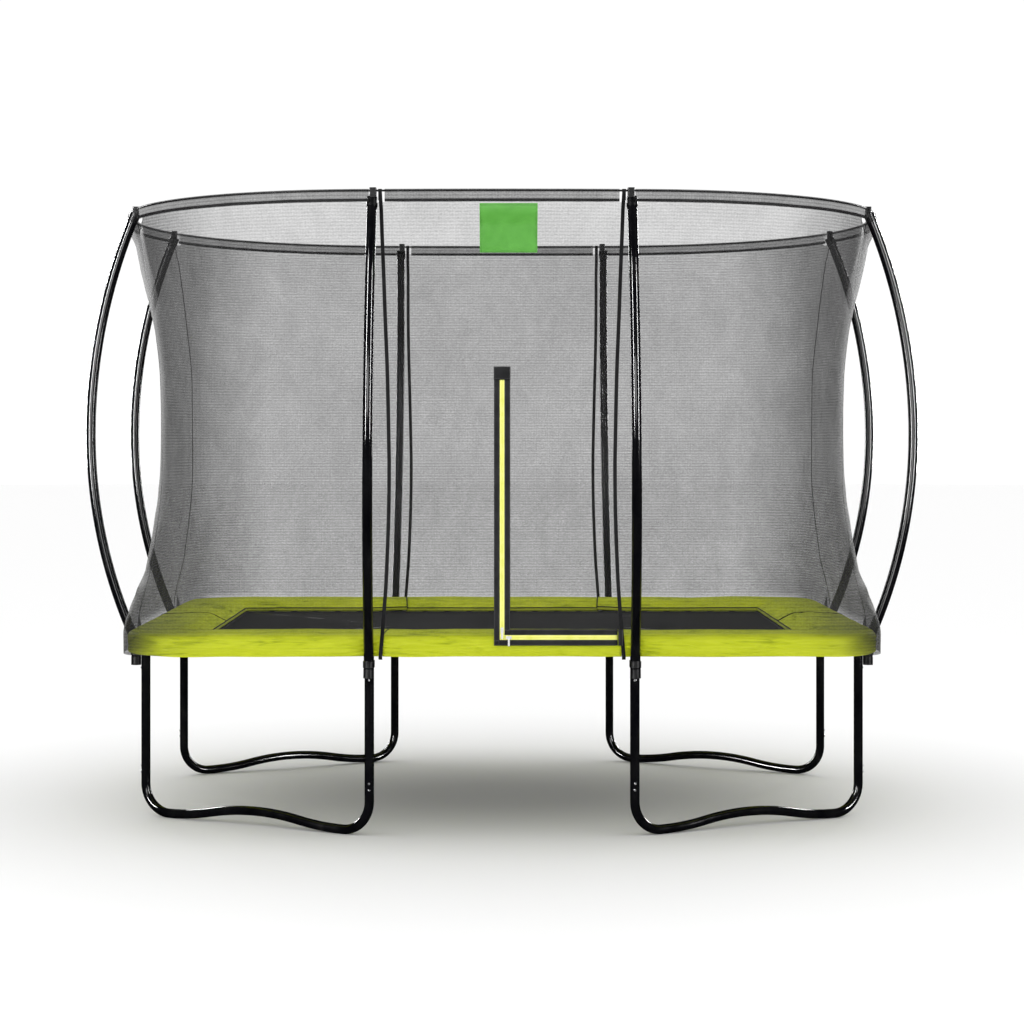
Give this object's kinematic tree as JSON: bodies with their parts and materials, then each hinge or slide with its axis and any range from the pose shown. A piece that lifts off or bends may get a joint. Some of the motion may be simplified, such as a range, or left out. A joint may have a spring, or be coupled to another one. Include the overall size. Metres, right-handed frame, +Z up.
{
  "type": "trampoline",
  "caption": "Rectangular garden trampoline on U-shaped floor tubes, with lime edge pads, a spring-held mat and a waisted safety net on bowed poles with a zipped corner door.",
  "frame": {"origin": "on the ground, under the middle of the frame", "axes": "+Z up; X along the long side; the zipped entrance is on the -Y side, which is the front"},
  "size_m": [3.517, 2.7582, 2.575],
  "materials": {
    "frame_steel": "gloss black powder coat on steel tube",
    "bolt_steel": "zinc plated",
    "spring_steel": "galvanised spring wire",
    "black_plastic": "moulded, satin",
    "ring_fibreglass": "smooth drawn fibreglass rod",
    "net_mesh": "fine knitted mesh, see-through",
    "sleeve_fabric": "woven sleeve over the ring",
    "webbing": "ribbed webbing and binding tape",
    "zip_yellow": "bright zip tape",
    "slider_white": "moulded",
    "patch_green": "woven patch",
    "pad_lime": "coated fabric over foam",
    "mat_black": "tight flat-weave mat"
  },
  "bodies": {
    "root": {"base_back_left": "frame_steel", "base_back_right": "frame_steel", "base_front_left": "frame_steel", "base_front_right": "frame_steel", "corner_rail_back_left": "frame_steel", "corner_rail_back_right": "frame_steel", "corner_rail_front_left": "frame_steel", "corner_rail_front_right": "frame_steel", "frame_bolts": "bolt_steel", "frame_sockets": "frame_steel", "leg_back_left": "frame_steel", "leg_back_right": "frame_steel", "leg_front_left": "frame_steel", "leg_front_right": "frame_steel", "leg_left_back": "frame_steel", "leg_left_front": "frame_steel", "leg_right_back": "frame_steel", "leg_right_front": "frame_steel", "net_back": "net_mesh", "net_corners": "net_mesh", "net_front": "net_mesh", "net_left": "net_mesh", "net_patch": "patch_green", "net_right": "net_mesh", "net_sleeve": "sleeve_fabric", "net_straps": "webbing", "pad_back": "pad_lime", "pad_back_left": "pad_lime", "pad_back_right": "pad_lime", "pad_front": "pad_lime", "pad_front_left": "pad_lime", "pad_front_right": "pad_lime", "pole_brackets": "frame_steel", "pole_foot_caps": "black_plastic", "pole_top_caps": "black_plastic", "poles_lower_back": "frame_steel", "poles_lower_front": "frame_steel", "poles_lower_left": "frame_steel", "poles_lower_right": "frame_steel", "poles_upper_back": "frame_steel", "poles_upper_front": "frame_steel", "poles_upper_left": "frame_steel", "poles_upper_right": "frame_steel", "rail_back": "frame_steel", "rail_front": "frame_steel", "rail_left": "frame_steel", "rail_right": "frame_steel", "ring_rods": "ring_fibreglass", "springs": "spring_steel", "zip_band": "webbing", "zip_strip": "zip_yellow"},
    "mat": {"jump_mat": "mat_black", "mat_hem": "webbing", "mat_rings": "bolt_steel"},
    "door": {"door_band": "webbing", "door_flap": "net_mesh"},
    "slider_up": {"slider_up": "slider_white"},
    "slider_across": {"slider_across": "slider_white"},
    "pull_up": {"pull_up": "slider_white"},
    "pull_across": {"pull_across": "slider_white"}
  },
  "joints": [
    {"name": "mat_bounce", "type": "slide", "parent": "root", "child": "mat", "axis": [0, 0, -1], "range_m": [0, 0.4], "stiffness_N_per_m": 6000, "springref_m": -0.03, "deforming": ["springs"]},
    {"name": "door_fold", "type": "hinge", "parent": "root", "child": "door", "pos_m": [0.461, -1.08874, 0.81], "axis": [-0.4043, 0.024, 0.9143], "range_deg": [0, 110]},
    {"name": "slider_up_slide", "type": "slide", "parent": "root", "child": "slider_up", "axis": [0, 0.0262, 0.9997], "range_m": [0, 0.961]},
    {"name": "slider_across_slide", "type": "slide", "parent": "root", "child": "slider_across", "axis": [1, 0, 0], "range_m": [0, 0.411]},
    {"name": "pull_up_flip", "type": "hinge", "parent": "slider_up", "child": "pull_up", "pos_m": [0, -1.09684, 0.829], "axis": [-1, 0, 0], "range_deg": [0, 150]},
    {"name": "pull_across_flip", "type": "hinge", "parent": "slider_across", "child": "pull_across", "pos_m": [0.027, -1.0976, 0.8], "axis": [-1, 0, 0], "range_deg": [0, 150]}
  ],
  "couplings": [
    {"joint": "slider_up_slide", "follows": "door_fold", "m_per_rad": 0.50004},
    {"joint": "slider_across_slide", "follows": "door_fold", "m_per_rad": 0.21356}
  ]
}
